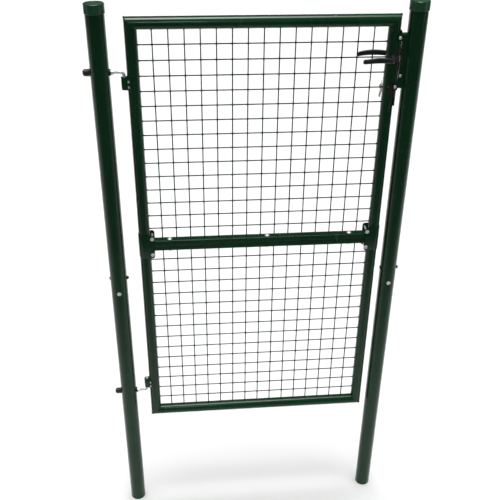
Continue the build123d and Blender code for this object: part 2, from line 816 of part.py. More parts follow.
# The arm's nose stands in the notch between the latch's finger and its head.
with BuildPart() as latch:
    head_x = lock_stile_x + 9
    nose_x = forend_x + forend_thick + latch_throw
    with BuildSketch(Plane.XY.offset(latch_low_z)):
        with BuildLine():
            Polyline(
                (head_x, bolt_half_y),
                (nose_x, bolt_half_y),
                (nose_x, bolt_half_y - 2),
                (nose_x - latch_throw, -bolt_half_y),
                (head_x, -bolt_half_y),
                (head_x, bolt_half_y),
            )
        make_face()
    extrude(amount=latch_height)
    finger_x = lock_stile_x - arm_nose_r - arm_play
    tail_low_z = spindle_z + arm_length - 4.5
    tail_high_z = spindle_z + arm_length + 5.5
    with Locations(((head_x + finger_x - 2.5) / 2, 0, (tail_low_z + tail_high_z) / 2)):
        Box(head_x - finger_x + 2.5, 5, tail_high_z - tail_low_z)
    notch_high_z = spindle_z + arm_length + arm_nose_r + 1
    with Locations((lock_stile_x, 0, (tail_low_z + notch_high_z) / 2)):
        Box(2 * (arm_nose_r + arm_play), 6, notch_high_z - tail_low_z, mode=Mode.SUBTRACT)
save(latch, "latch_bolt")

with BuildPart() as deadbolt:
    face_x = forend_x + forend_thick - 0.2
    with Locations((lock_stile_x + 6, 0, deadbolt_mid_z)):
        Box(
            face_x - lock_stile_x - 6,
            2 * bolt_half_y,
            deadbolt_height,
            align=(Align.MIN, Align.CENTER, Align.CENTER),
        )
    tail_low_z = key_z + cam_r + 1
    with Locations((lock_stile_x + 8, 0, tail_low_z)):
        Box(
            20,
            5,
            deadbolt_high_z - tail_low_z,
            align=(Align.MAX, Align.CENTER, Align.MIN),
        )
save(deadbolt, "deadbolt")

# ---------------------------------------------------------------- keys


def key_blank(hole, blade_dir, face_dir):
    """A flat key centred on its bow's hole; blade_dir leads from the hole to the tip."""
    plane = Plane(origin=hole, x_dir=blade_dir, z_dir=face_dir).offset(-key_thick / 2)
    with BuildPart() as blank:
        with BuildSketch(plane):
            with Locations((bow_hole_offset, 0)):
                Circle(bow_r)
            with Locations((bow_hole_offset, 0)):
                Rectangle(
                    bow_r + blade_length, 2 * blade_half_z, align=(Align.MIN, Align.CENTER)
                )
            Circle(bow_hole_r, mode=Mode.SUBTRACT)
        extrude(amount=key_thick)
    return blank


# The key is drawn part of the way out of the cylinder.
key_hole = Vector(lock_stile_x, key_hole_y, key_z)
save(key_blank(key_hole, (0, -1, 0), (1, 0, 0)), "key")

# The ring hangs from the key at 45 degrees, and the spare keys hang across the ring.
ring_along = Vector(1, 1, 0).normalized()
ring_axis = Vector(1, -1, 0).normalized()
ring_top_z = key_z - bow_hole_r + ring_wire_r + ring_clearance
ring_centre = Vector(lock_stile_x, key_hole_y, ring_top_z - ring_r)
with BuildPart() as key_ring:
    with Locations(Plane(origin=ring_centre, z_dir=ring_axis)):
        Torus(ring_r, ring_wire_r)
save(key_ring, "key_ring")

hang = bow_hole_r - ring_wire_r - ring_clearance
with BuildPart() as spare_keys:
    for side, lean in zip((-1, 1), spare_key_leans):
        down = Vector(0, 0, -1) * cos(radians(lean)) - ring_axis * sin(radians(lean))
        hole = ring_centre + Vector(0, 0, -ring_r) + down * hang
        hole += ring_along * side * spare_key_gap
        add(key_blank(hole, down, ring_along).part)
save(spare_keys, "spare_keys")

# ---------------------------------------------------------------- keep

with BuildPart() as keep:
    height = keep_high_z - keep_low_z
    with Locations((keep_x, 0, keep_low_z)):
        Box(40, keep_width, height, align=(Align.MIN, Align.CENTER, Align.MIN))
    with Locations((keep_x + sheet, 0, keep_low_z)):
        Box(
            40,
            keep_width - 2 * sheet,
            height - sheet,
            align=(Align.MIN, Align.CENTER, Align.MIN),
            mode=Mode.SUBTRACT,
        )
    bolt_windows(keep_x, 4 * sheet, 2, 3)
    bore((post_spacing, 0, keep_low_z), (0, 0, 1), post_r, 3 * height)
    with Locations((post_spacing, 0, keep_low_z)):
        Box(
            2 * post_r,
            2 * post_r,
            3 * height,
            align=(Align.MIN, Align.CENTER, Align.CENTER),
            mode=Mode.SUBTRACT,
        )
    bore((keep_bolt_x, 0, keep_bolt_z), (0, 1, 0), keep_bolt_r + 0.1, 40)
save(keep, "latch_keep")

with BuildPart() as keep_bolt:
    bar((keep_bolt_x, -keep_width / 2, keep_bolt_z), (0, 1, 0), keep_bolt_r, keep_width + 6)
    dome((keep_bolt_x, -keep_width / 2, keep_bolt_z), (0, -1, 0), *keep_head)
save(keep_bolt, "keep_bolt")

with BuildPart() as keep_nut:
    hexagon((keep_bolt_x, keep_width / 2, keep_bolt_z), (0, 1, 0), *keep_nut_size)
    bore((keep_bolt_x, keep_width / 2, keep_bolt_z), (0, 1, 0), keep_bolt_r, 20)
save(keep_nut, "keep_nut")
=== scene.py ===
import json
from math import cos, pi, radians, sin, sqrt, tan

import bpy
import numpy as np
from bpy.props import FloatProperty, FloatVectorProperty, PointerProperty
from mathutils import Matrix, Vector


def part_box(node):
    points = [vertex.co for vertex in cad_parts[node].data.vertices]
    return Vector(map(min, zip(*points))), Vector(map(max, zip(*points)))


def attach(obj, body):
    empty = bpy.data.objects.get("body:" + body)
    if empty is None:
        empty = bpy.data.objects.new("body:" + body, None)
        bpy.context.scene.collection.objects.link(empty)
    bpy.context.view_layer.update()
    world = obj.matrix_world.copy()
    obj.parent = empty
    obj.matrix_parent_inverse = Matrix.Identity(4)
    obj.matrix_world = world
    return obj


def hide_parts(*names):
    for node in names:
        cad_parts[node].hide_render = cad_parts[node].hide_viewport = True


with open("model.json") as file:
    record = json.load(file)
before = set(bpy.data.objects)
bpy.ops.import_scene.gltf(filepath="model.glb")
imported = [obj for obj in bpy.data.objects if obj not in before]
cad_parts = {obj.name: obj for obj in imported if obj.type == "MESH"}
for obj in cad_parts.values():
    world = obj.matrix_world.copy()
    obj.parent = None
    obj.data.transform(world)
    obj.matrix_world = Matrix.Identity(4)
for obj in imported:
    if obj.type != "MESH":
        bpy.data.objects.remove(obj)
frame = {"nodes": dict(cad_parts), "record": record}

bl_info = {
    "name": "Garden Gate",
    "version": (1, 0, 0),
    "blender": (4, 5, 0),
    "location": "3D View > Sidebar > Garden Gate",
    "description": "Dresses the steel garden gate's frame with its finished pieces",
    "category": "Object",
}

# All shapes are worked out in millimetres in the frame's own axes: X to the latch post,
# Y to the back, Z up.
MM = 0.001
X, Y, Z = np.eye(3)
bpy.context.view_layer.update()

# Sizes that no node's box gives.
POST_R, FRAME_R, WIRE_R, ROD_R = 30.0, 20.0, 2.0, 5.0
WALL = 1.5
CAP_BORE, CAP_R = 30.05, 32.3
BAR_BOLT_XS = (193.0, 543.0, 843.0)
MESH_COLUMNS, MESH_ROWS = 15, 14
KEEP_HALF = 12.0
KEY_THICK, BLADE_HALF, BLADE_END = 2.2, 3.9, 43.0
BOW_R, BOW_HOLE_R, BOW_OFFSET = 11.5, 3.5, 5.5


def span(node):
    """Lowest and highest corner of a CAD node, in millimetres."""
    low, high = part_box(node)
    return np.array(low) / MM, np.array(high) / MM


def middle(node):
    """Centre of a CAD node's box, in millimetres."""
    return np.mean(span(node), axis=0)


def columns(*values):
    """Lists of X, Y and Z as rows of points; a single number fills its column."""
    return np.stack(np.broadcast_arrays(*values), -1)


def circle(steps):
    """Angles once round a circle."""
    return np.linspace(0, 2 * pi, steps, endpoint=False)


# ---- surfaces


class Skin:
    """Collects grids of points and makes them one mesh."""

    def __init__(self):
        self.points, self.faces, self.count = [], [], 0

    def grid(self, points, closed=False, capped=True):
        """Add a grid of points: rows along the shape, columns round it.

        Columns always join up round the shape. Closed rows join the last row to the first;
        capped ones get a flat face at each end. Faces turn outwards by the sign of the
        volume that they enclose, which is the sum of corner . (corner x corner) / 6.
        """
        points = np.asarray(points, float)
        rows, around = points.shape[:2]
        index = np.arange(rows * around).reshape(rows, around)
        if closed:
            index = np.vstack([index, index[:1]])
        ahead = np.roll(index, -1, axis=1)
        quads = np.stack([index[:-1], index[1:], ahead[1:], ahead[:-1]], -1).reshape(-1, 4)
        ends = [] if closed or not capped else [index[0], index[-1][::-1]]
        flat = points.reshape(-1, 3)
        centred = flat - flat.mean(axis=0)
        corner = [centred[quads[:, k]] for k in range(4)]
        volume = np.einsum("ij,ij->", corner[0], np.cross(corner[1], corner[2]))
        volume += np.einsum("ij,ij->", corner[0], np.cross(corner[2], corner[3]))
        for end in ends:
            ring = centred[end]
            total = np.cross(ring, np.roll(ring, -1, axis=0)).sum(axis=0)
            volume += ring.mean(axis=0) @ total
        if volume < 0:
            quads = quads[:, ::-1]
            ends = [end[::-1] for end in ends]
        self.points.append(flat)
        self.faces += (quads + self.count).tolist()
        self.faces += [(end + self.count).tolist() for end in ends]
        self.count += len(flat)

    def piece(self, name, body, finish, replaces, slot):
        """Make the mesh, put it on its body and give it its finish."""
        mesh = bpy.data.meshes.new(name)
        mesh.from_pydata((np.vstack(self.points) * MM).tolist(), [], self.faces)
        mesh.validate()
        mesh.shade_smooth()
        mesh.set_sharp_from_angle(angle=radians(38))
        mesh.materials.append(finish)
        made = bpy.data.objects.new(name, mesh)
        bpy.context.scene.collection.objects.link(made)
        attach(made, body)
        if replaces:
            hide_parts(*replaces)
        return made


def across(axis):
    """Two unit vectors square to an axis and to each other."""
    axis = np.asarray(axis, float) / np.linalg.norm(axis)
    helper = Z if abs(axis[2]) < 0.9 else X
    first = np.cross(helper, axis)
    first /= np.linalg.norm(first)
    return first, np.cross(axis, first)


def turned(origin, axis, radii, heights, steps=32):
    """A turned shape: each profile point (radius, height) goes round the axis.

    The point at angle a is origin + height * axis + radius * (cos a, sin a) across it.
    Radii and heights may also vary round the axis, as rows by columns.
    """
    angle = circle(steps)
    first, second = across(axis)
    axis = np.asarray(axis, float) / np.linalg.norm(axis)
    radii, heights = (
        np.broadcast_to(a[:, None] if a.ndim == 1 else a, (len(a), steps))
        for a in (np.asarray(radii, float), np.asarray(heights, float))
    )
    spoke = np.cos(angle)[:, None] * first + np.sin(angle)[:, None] * second
    return origin + heights[..., None] * axis + radii[..., None] * spoke


def hexagon(steps, flat_radius, corner=0.6):
    """Radius of a hexagon round its axis: flat_radius / cos of the angle from a flat's middle.

    The corners are eased by corner millimetres.
    """
    angle = circle(steps)
    off = (angle + pi / 6) % (pi / 3) - pi / 6
    return np.minimum(flat_radius / np.cos(off), flat_radius / cos(pi / 6) - corner * 0.3)


def carried(path, section, side, closed=False):
    """A section carried along a flat path.

    At each path point the section's first number is laid along the path's in-plane normal,
    and its second along side, which is square to the path's plane. A section may change
    from point to point, as rows by columns by two.
    """
    path = np.asarray(path, float)
    if closed:
        tangent = np.roll(path, -1, axis=0) - np.roll(path, 1, axis=0)
    else:
        tangent = np.gradient(path, axis=0)
    tangent /= np.linalg.norm(tangent, axis=1)[:, None]
    normal = np.cross(side, tangent)
    normal /= np.linalg.norm(normal, axis=1)[:, None]
    section = np.asarray(section, float)
    if section.ndim == 2:
        section = np.broadcast_to(section, (len(path),) + section.shape)
    upright = np.cross(tangent, normal)
    return (
        path[:, None]
        + section[..., :1] * normal[:, None]
        + section[..., 1:] * upright[:, None]
    )


def rounded(width, height, radius, steps=5):
    """A rectangle with round corners, as points round it: a quarter circle at each corner."""
    arc = np.linspace(0, pi / 2, steps)
    corners = []
    for turn, (sx, sy) in enumerate(((1, 1), (-1, 1), (-1, -1), (1, -1))):
        angle = arc + turn * pi / 2
        corner_x, corner_y = sx * (width / 2 - radius), sy * (height / 2 - radius)
        corners.append(
            columns(corner_x + radius * np.cos(angle), corner_y + radius * np.sin(angle))
        )
    return np.vstack(corners)


def arc(centre, radius, start, end, steps):
    """Points on a circle in the level plane, from one angle in degrees to another."""
    angle = np.radians(np.linspace(start, end, steps))
    x, y, z = centre
    return columns(x + radius * np.cos(angle), y + radius * np.sin(angle), z)


def even(path, count):
    """The same path with its points spread evenly along its length."""
    path = np.asarray(path, float)
    step = np.linalg.norm(np.diff(path, axis=0), axis=1)
    keep = np.r_[True, step > 1e-6]
    path, step = path[keep], step[step > 1e-6]
    along = np.r_[0, np.cumsum(step)]
    wanted = np.linspace(0, along[-1], count)
    return np.stack([np.interp(wanted, along, path[:, k]) for k in range(3)], -1)


def tube(skin, centre, low, high, outer, inner, edge=0.5, steps=96):
    """A length of tube wall standing on Z, with its cut ends eased.

    Its wall's outline is a closed loop of (radius, height), turned round the centre.
    """
    radii = [outer, outer, outer - edge, inner + edge, inner, inner, inner + edge, outer - edge]
    heights = [low + edge, high - edge, high, high, high - edge, low + edge, low, low]
    skin.grid(turned((centre[0], centre[1], 0), Z, radii, heights, steps), closed=True)


def strip(skin, path, height, thick, tip=0.0, edge=0.35):
    """Bent sheet: a thin upright rectangle carried along a level path.

    Near each end its height falls along a quarter circle of radius tip, which rounds the
    two corners there.
    """
    path = np.asarray(path, float)
    step = np.linalg.norm(np.diff(path, axis=0), axis=1)
    along = np.r_[0, np.cumsum(step)]
    to_end = np.minimum(along, along[-1] - along)
    section = np.broadcast_to(rounded(thick, height, edge, 3), (len(path), 12, 2)).copy()
    if tip:
        inside = np.clip(tip - to_end, 0, tip)
        drop = tip - np.sqrt(np.maximum(tip**2 - inside**2, 0))
        section[..., 1] *= (1 - 2 * drop / height)[:, None]
    skin.grid(carried(path, section, Z))


def nut(skin, origin, axis, flat_radius, height, hole, steps=48):
    """A hexagon nut: the hexagon's radius cut by a 30-degree cone at both faces."""
    hexed = hexagon(steps, flat_radius)
    face = np.minimum(hexed, flat_radius * 0.985)
    bevel = (hexed - face) * tan(radians(30))
    level = np.ones(steps)
    radii = [hole * level, face, hexed, hexed, face, hole * level]
    heights = [0 * level, 0 * level, bevel, height - bevel, height * level, height * level]
    skin.grid(turned(origin, axis, np.array(radii), np.array(heights), steps), closed=True)


def dome(skin, origin, axis, radius, height, socket=0.0, steps=48):
    """A low round head: height falls with the square of the radius.

    A hexagon socket may be sunk in its middle.
    """
    hexed = hexagon(steps, socket, 0.2) if socket else np.full(steps, 0.3)
    level = np.ones(steps)
    share = np.sqrt(np.linspace(1, (socket * 1.3 / radius) ** 2 + 0.002, 9))
    radii = [radius * 0.96 * level] + [radius * s * level for s in share[:-1]]
    heights = [0 * level] + [(0.14 + 0.86 * (1 - s**2)) * height * level for s in share[:-1]]
    top = heights[-1]
    radii += [hexed * 1.06, hexed]
    heights += [top, top - 0.12 * height]
    if socket:
        radii += [hexed * 0.97, hexed * 0.6]
        heights += [top - 0.62 * height, top - 0.7 * height]
    skin.grid(turned(origin, axis, np.array(radii), np.array(heights), steps))


def threaded(skin, origin, axis, radius, length, pitch=1.25, steps=20):
    """A threaded end: radius less depth * (half + half cos(turns - angle)), to a bevelled tip."""
    rows = max(int(length / pitch * 6), 12)
    along = np.linspace(0, length, rows)
    angle = circle(steps)
    wave = 0.5 + 0.5 * np.cos(2 * pi * along[:, None] / pitch - angle)
    radii = radius - 0.45 * pitch * wave
    radii -= np.clip(1.2 - (length - along), 0, 1.2)[:, None] * 0.7
    heights = np.broadcast_to(along[:, None], radii.shape)
    skin.grid(turned(origin, axis, radii, heights, steps))


# ---- finishes


class Number:
    """A number in a shader tree. Arithmetic on it adds Math nodes."""

    def __init__(self, finish, socket):
        self.finish, self.socket = finish, socket

    def _with(self, operation, first, second):
        node = self.finish.add("ShaderNodeMath", {"operation": operation}, {0: first, 1: second})
        return Number(self.finish, node.outputs[0])

    def __add__(self, other):
        return self._with("ADD", self, other)

    def __sub__(self, other):
        return self._with("SUBTRACT", self, other)

    def __rsub__(self, other):
        return self._with("SUBTRACT", other, self)

    def __mul__(self, other):
        return self._with("MULTIPLY", self, other)

    __radd__ = __add__
    __rmul__ = __mul__


class Finish:
    """A material with its shader tree."""

    def __init__(self, name, metallic=0.0, coat=0.0, specular=0.5):
        self.material = bpy.data.materials.new(name)
        self.material.use_nodes = True
        self.tree = self.material.node_tree
        self.shader = self.tree.nodes["Principled BSDF"]
        self.shader.inputs["Metallic"].default_value = metallic
        self.shader.inputs["Coat Weight"].default_value = coat
        self.shader.inputs["Coat Roughness"].default_value = 0.06
        self.shader.inputs["Specular IOR Level"].default_value = specular
        self.place = self.add("ShaderNodeTexCoord").outputs["Object"]

    def add(self, kind, settings=None, inputs=None):
        """Add a node: its settings first, then the values or links of its sockets."""
        node = self.tree.nodes.new(kind)
        for key, value in (settings or {}).items():
            if key == "stops":
                stops = node.color_ramp.elements
                for stop, (position, level) in zip(stops, value):
                    stop.position, stop.color = position, (level, level, level, 1)
            else:
                setattr(node, key, value)
        for key, value in (inputs or {}).items():
            socket = node.inputs[key]
            source = value.socket if isinstance(value, Number) else value
            if isinstance(source, bpy.types.NodeSocket):
                self.tree.links.new(source, socket)
            else:
                socket.default_value = source
        return node

    def noise(self, scale, detail=2.0, stretch=(1, 1, 1)):
        """Noise over the surface, scale patches to the metre, as a number near one half."""
        place = self.place
        if stretch != (1, 1, 1):
            mapping = self.add("ShaderNodeMapping", None, {"Vector": place, "Scale": stretch})
            place = mapping.outputs[0]
        node = self.add(
            "ShaderNodeTexNoise", None, {"Vector": place, "Scale": scale, "Detail": detail}
        )
        return Number(self, node.outputs[0])

    def ramp(self, number, low, high):
        """A number stretched so that low gives 0 and high gives 1."""
        node = self.add("ShaderNodeValToRGB", {"stops": ((low, 0), (high, 1))}, {0: number})
        return Number(self, node.outputs[0])

    def blend(self, mask, first, second):
        """A colour between two colours, by the mask."""
        node = self.add(
            "ShaderNodeMix", {"data_type": "RGBA"}, {0: mask, 6: first, 7: second}
        )
        return node.outputs[2]

    def finish(self, tint, roughness, height=None, distance=0.0002, strength=0.5):
        """Link the colour, the roughness and a bump of the given height in metres."""
        values = {"Base Color": tint, "Roughness": roughness}
        if height is not None:
            bump = self.add(
                "ShaderNodeBump", None,
                {"Height": height, "Distance": distance, "Strength": strength},
            )
            values["Normal"] = bump.outputs[0]
        for key, value in values.items():
            source = value.socket if isinstance(value, Number) else value
            self.tree.links.new(source, self.shader.inputs[key])
        return self.material


def shade(tint, factor, warm=0.0):
    """A colour made lighter or darker, and warmer, as a socket's four numbers."""
    red, green, blue = tint[:3]
    return (red * factor + warm, green * factor + warm * 0.6, blue * factor, 1)


def coated(name, tint, peel=420, rough=0.16, coat=0.14):
    """Glossy coating: orange-peel bump, faint cloudiness, dust and pale rub marks."""
    f = Finish(name, coat=coat, specular=0.2)
    cloud = f.ramp(f.noise(5.0, 3), 0.35, 0.68)
    rub = f.ramp(f.noise(38, 6, (1, 1, 0.25)), 0.66, 0.74)
    dust = f.ramp(f.noise(160, 5), 0.52, 0.75)
    now = f.blend(cloud, shade(tint, 0.86), shade(tint, 1.2))
    now = f.blend(dust * 0.12, now, shade(tint, 2.0, 0.02))
    now = f.blend(rub * 0.12, now, shade(tint, 2.4, 0.02))
    roughness = rough + cloud * 0.07 + dust * 0.12 + rub * 0.2
    height = f.noise(peel, 1) * 0.8 + f.noise(70, 2) * 0.5
    return f.finish(now, roughness, height, 0.0006, 0.35)


def moulded(name, tint, rough=0.35, grain=900, coat=0.0):
    """Moulded plastic: fine grain, faint flow streaks and scuffs."""
    f = Finish(name, coat=coat)
    flow = f.noise(14, 3, (1, 1, 0.4))
    scuff = f.ramp(f.noise(120, 6, (0.4, 1, 1)), 0.62, 0.72)
    now = f.blend(f.ramp(flow, 0.35, 0.65), shade(tint, 0.85), shade(tint, 1.15))
    now = f.blend(scuff * 0.35, now, shade(tint, 2.0, 0.04))
    roughness = rough + flow * 0.12 + scuff * 0.2
    return f.finish(now, roughness, f.noise(grain, 2) + flow * 0.4, 0.0003, 0.35)


def plated(name, tint, rough=0.28, tarnish=0.35, brushed=(1, 1, 1), metallic=0.85):
    """Plated metal: rolling marks, cloudy plating and small dull spots."""
    f = Finish(name, metallic=metallic)
    cloud = f.ramp(f.noise(55, 4), 0.35, 0.7)
    marks = f.noise(700, 2, brushed)
    spots = f.ramp(f.noise(420, 3), 0.64, 0.72)
    now = f.blend(cloud * tarnish, shade(tint, 1.0), shade(tint, 0.72, 0.02))
    now = f.blend(spots * 0.4, now, shade(tint, 0.5))
    roughness = rough + cloud * 0.12 + marks * 0.1 + spots * 0.2
    return f.finish(now, roughness, marks, 0.0001, 0.3)


def lacquered(name, tint):
    """Brown baked lacquer on steel: mottled, rubbed through to metal in small specks."""
    f = Finish(name)
    mottle = f.ramp(f.noise(90, 4), 0.35, 0.65)
    worn = f.ramp(f.noise(260, 5), 0.64, 0.70)
    now = f.blend(mottle, shade(tint, 0.6), shade(tint, 1.4))
    now = f.blend(worn * 0.6, now, (0.32, 0.29, 0.26, 1))
    return f.finish(now, 0.38 + mottle * 0.15, f.noise(500, 3), 0.0002, 0.4)


MAKERS = {
    "green_coating": lambda name, c: coated(name, c.coating),
    "green_mesh": lambda name, c: coated(name, c.mesh, 700, 0.3, 0.2),
    "green_plastic": lambda name, c: moulded(name, c.cap, 0.22, 1100, 0.3),
    "black_plastic": lambda name, c: moulded(name, c.black, 0.3, 1100, 0.15),
    "black_steel": lambda name, c: coated(name, c.black, 500, 0.35, 0.0),
    "zinc": lambda name, c: plated(name, c.zinc, 0.3, 0.2, metallic=0.6),
    "inner_steel": lambda name, c: plated(name, c.inner, 0.4, 0.6),
    "brown_steel": lambda name, c: lacquered(name, c.brown),
    "nickel": lambda name, c: plated(name, c.nickel, 0.2, 0.25, (1, 1, 0.2)),
    "dark_nickel": lambda name, c: plated(name, c.dark_nickel, 0.35, 0.6, metallic=0.7),
    "nylon": lambda name, c: moulded(name, c.black, 0.5, 600),
}
# The cylinder body and its front plug get a colour much darker than the nickel that the same
# cylinder's rear plug and keys keep.
DARKENED = ("lock_cylinder", "lock_front_plug")
SLOT_OF = {part["node"]: part["material_slot"] for part in frame["record"]["subparts"]}
BODY_OF = {
    node: body
    for body, nodes in frame["record"]["behaviour"]["bodies"].items()
    for node in nodes
}


def finish_of(slot):
    """The material of one of the record's slots, made the first time that it is asked for."""
    name = "gate_" + slot
    if name not in bpy.data.materials:
        MAKERS[slot](name, bpy.context.scene.gate_colours)
    return bpy.data.materials[name]


def stand_for(skin, node):
    """Finish a piece that stands for one CAD node, with that node's body and slot."""
    slot = SLOT_OF[node]
    return skin.piece("fine_" + node, BODY_OF[node], finish_of(slot), (node,), slot)


# ---- properties


def extent(name, default, description):
    """A size in metres."""
    return FloatProperty(
        name=name, description=description, default=default, min=0.0,
        unit="LENGTH", subtype="DISTANCE",
    )


def colour(name, default, description):
    """A base colour."""
    return FloatVectorProperty(
        name=name, description=description, default=default, min=0.0, max=1.0, subtype="COLOR"
    )


def angle_of(name, degrees, description):
    """An angle of the camera."""
    return FloatProperty(
        name=name, description=description, default=radians(degrees),
        subtype="ANGLE", unit="ROTATION",
    )


def wattage(name, watts, description):
    """The power of a light."""
    return FloatProperty(
        name=name, description=description, default=watts, min=0.0, unit="POWER"
    )


class GateSizes(bpy.types.PropertyGroup):
    """Sizes of the small details."""

    weld_swell: extent("Weld swell", 0.0010, "How far the coating swells where two wires cross")
    bead: extent("Weld bead", 0.0013, "Radius of the weld bead round a mitred corner")
    thread: extent("Hinge thread", 0.0015, "Pitch of the hinge rods' thread")
    sheet: extent("Sheet", 0.002, "Thickness of the straps, clips and hinge eyes")
    ring_wire: extent("Key ring wire", 0.0007, "Radius of the split ring's wire")
    cut_depth: extent("Key cuts", 0.0019, "Depth of the deepest cut in a key's blade")


class GateColours(bpy.types.PropertyGroup):
    """Base colours of the finishes."""

    coating: colour("Coating", (0.003, 0.040, 0.013), "Glossy green coating of the tubes")
    mesh: colour("Mesh", (0.002, 0.014, 0.006), "Green coating of the mesh wire")
    cap: colour("Caps", (0.004, 0.060, 0.022), "Green plastic of the post caps")
    black: colour("Black", (0.012, 0.012, 0.014), "Black plastic and blackened steel")
    # Much darker than the nickel of the same cylinder's rear plug and keys; used for the cylinder
    # body and its front plug.
    dark_nickel: colour("Cylinder", (0.045, 0.034, 0.030), "Darkened nickel of the cylinder")
    zinc: colour("Zinc", (0.88, 0.89, 0.88), "Zinc plated fasteners")
    inner: colour("Inner steel", (0.45, 0.46, 0.46), "Plain galvanised steel inside the tubes")
    brown: colour("Forend", (0.040, 0.018, 0.014), "Brown lacquer of the lock's forend")
    nickel: colour("Nickel", (0.72, 0.70, 0.64), "Nickel plated rear plug and keys")
    floor: colour("Floor", (0.86, 0.86, 0.86), "Plain pale floor")


class GateStage(bpy.types.PropertyGroup):
    """Camera and lights."""

    lens: FloatProperty(
        name="Lens", description="Focal length on a 36 mm sensor", default=54.15, min=10,
        unit="CAMERA",
    )
    eye: FloatVectorProperty(
        name="Eye", description="Where the camera stands", default=(0.2488, -2.3502, 2.6264),
        subtype="TRANSLATION", unit="LENGTH",
    )
    tilt: angle_of("Tilt", 30.563, "How far the camera looks down")
    turn: angle_of("Turn", 5.657, "How far the camera looks to the right")
    roll: angle_of("Roll", 0.735, "How far the camera leans")
    overhead: wattage("Overhead light", 760.0, "Panel above the floor behind the gate")
    key_power: wattage("Key light", 9.0, "Light beside the camera")
    left_power: wattage("Left light", 2.5, "Light on the left of the gate")
    right_power: wattage("Right light", 5.0, "Light on the right of the gate")
    world: FloatProperty(
        name="Room light", description="Strength of the plain light from all round",
        default=0.12, min=0.0,
    )


# ---- posts


class GATE_OT_posts(bpy.types.Operator):
    """Make the four lengths of post tube"""

    bl_idname = "gate.posts"
    bl_label = "Posts"

    def execute(self, context):
        for node in (
            "hinge_post_lower", "hinge_post_upper", "latch_post_lower", "latch_post_upper",
        ):
            low, high = span(node)
            outer = (high[0] - low[0]) / 2
            skin = Skin()
            tube(skin, middle(node), low[2], high[2], outer, outer - WALL, 0.45)
            stand_for(skin, node)
        return {"FINISHED"}


class GATE_OT_caps(bpy.types.Operator):
    """Make the push-on post caps: a lipped skirt, a round shoulder and a raised rim"""

    bl_idname = "gate.post_caps"
    bl_label = "Post caps"

    def execute(self, context):
        low, high = span("post_caps")
        shoulder = np.radians(np.linspace(0, 90, 9))
        radii = np.r_[
            0.4, 12, 22, 26.4, 27.2, 28.4, 29.3,
            29.3 + 2.9 * np.sin(shoulder), 32.2, CAP_R, CAP_R, 32.0,
            CAP_BORE + 0.4, CAP_BORE, CAP_BORE, 26, 0.4,
        ]
        heights = np.r_[
            28.9, 28.8, 28.5, 28.3, 28.6, 29.5, 30.0,
            27.1 + 2.9 * np.cos(shoulder), 3.6, 3.2, 0.5, 0, 0, 0.5, 27, 27, 27,
        ]
        skin = Skin()
        for x in (low[0] + CAP_R, high[0] - CAP_R):
            skin.grid(turned((x, 0, low[2]), Z, radii, heights, 96))
        stand_for(skin, "post_caps")
        return {"FINISHED"}


class GATE_OT_splices(bpy.types.Operator):
    """Make the screws, bolts and nuts that pin the posts' two halves"""

    bl_idname = "gate.splices"
    bl_label = "Post splices"

    def execute(self, context):
        z = middle("splice_screws")[2]
        posts = (middle("hinge_post_upper"), middle("latch_post_upper"))
        screws, bolts, nuts = Skin(), Skin(), Skin()
        bolt_z = middle("splice_bolts")[2]
        for x, y, _ in posts:
            face = y - POST_R
            radii = [2.9, 2.9, 7.3, 7.5, 7.5, 7.2, 2.9, 2.9]
            heights = [-12, -0.2, -0.2, 0, 0.9, 1.2, 1.2, -12]
            screws.grid(turned((x, face, z), -Y, radii, heights, 48), closed=True)
            dome(screws, (x, face - 1.2, z), -Y, 5.5, 3, 1.9)
            bolts.grid(turned((x - 29.5, y, bolt_z), X, [4, 4], [0, 60], 24))
            dome(bolts, (x - POST_R, y, bolt_z), -X, 7.5, 3.5)
            threaded(bolts, (x + 29.5, y, bolt_z), X, 4, 8)
            nut(nuts, (x + POST_R, y, bolt_z), X, 6.5, 5, 3.6)
        stand_for(screws, "splice_screws")
        stand_for(bolts, "splice_bolts")
        stand_for(nuts, "splice_nuts")
        return {"FINISHED"}


# ---- hinges


class GATE_OT_hinge_rods(bpy.types.Operator):
    """Make the two bent hinge rods with the thread that sets the leaf's place"""

    bl_idname = "gate.hinge_rods"
    bl_label = "Hinge rods"

    def execute(self, context):
        pitch = context.scene.gate_sizes.thread / MM
        steps, bend, radius, thread_end = 24, 12.0, ROD_R, 104
        for node, leg in (("upper_hinge_rod", -1), ("lower_hinge_rod", 1)):
            low, high = span(node)
            rod_z = (high[2] if leg < 0 else low[2]) + leg * radius
            end_z = low[2] if leg < 0 else high[2]
            pin_x = high[0] - radius
            turn = np.radians(np.linspace(0, 90, 24))
            corner = columns(
                pin_x - bend + bend * np.sin(turn), 0, rod_z + leg * bend * (1 - np.cos(turn))
            )
            straight = [(low[0], 0, rod_z), (pin_x - bend, 0, rod_z)]
            path = even(np.vstack([straight, corner, [(pin_x, 0, end_z)]]), 900)
            total = np.linalg.norm(np.diff(path, axis=0), axis=1).sum()
            along = np.linspace(0, total, len(path))
            cut = 0.33 * pitch * np.clip((thread_end - along) / 3, 0, 1)
            angle = circle(steps)
            wave = 0.5 + 0.5 * np.cos(2 * pi * along[:, None] / pitch - angle)
            ease = np.clip(1.2 - np.minimum(along, total - along), 0, 1.2)
            radii = radius - cut[:, None] * wave - ease[:, None] * 0.7
            section = radii[..., None] * columns(np.cos(angle), np.sin(angle))
            skin = Skin()
            skin.grid(carried(path, section, Y))
            stand_for(skin, node)
        return {"FINISHED"}


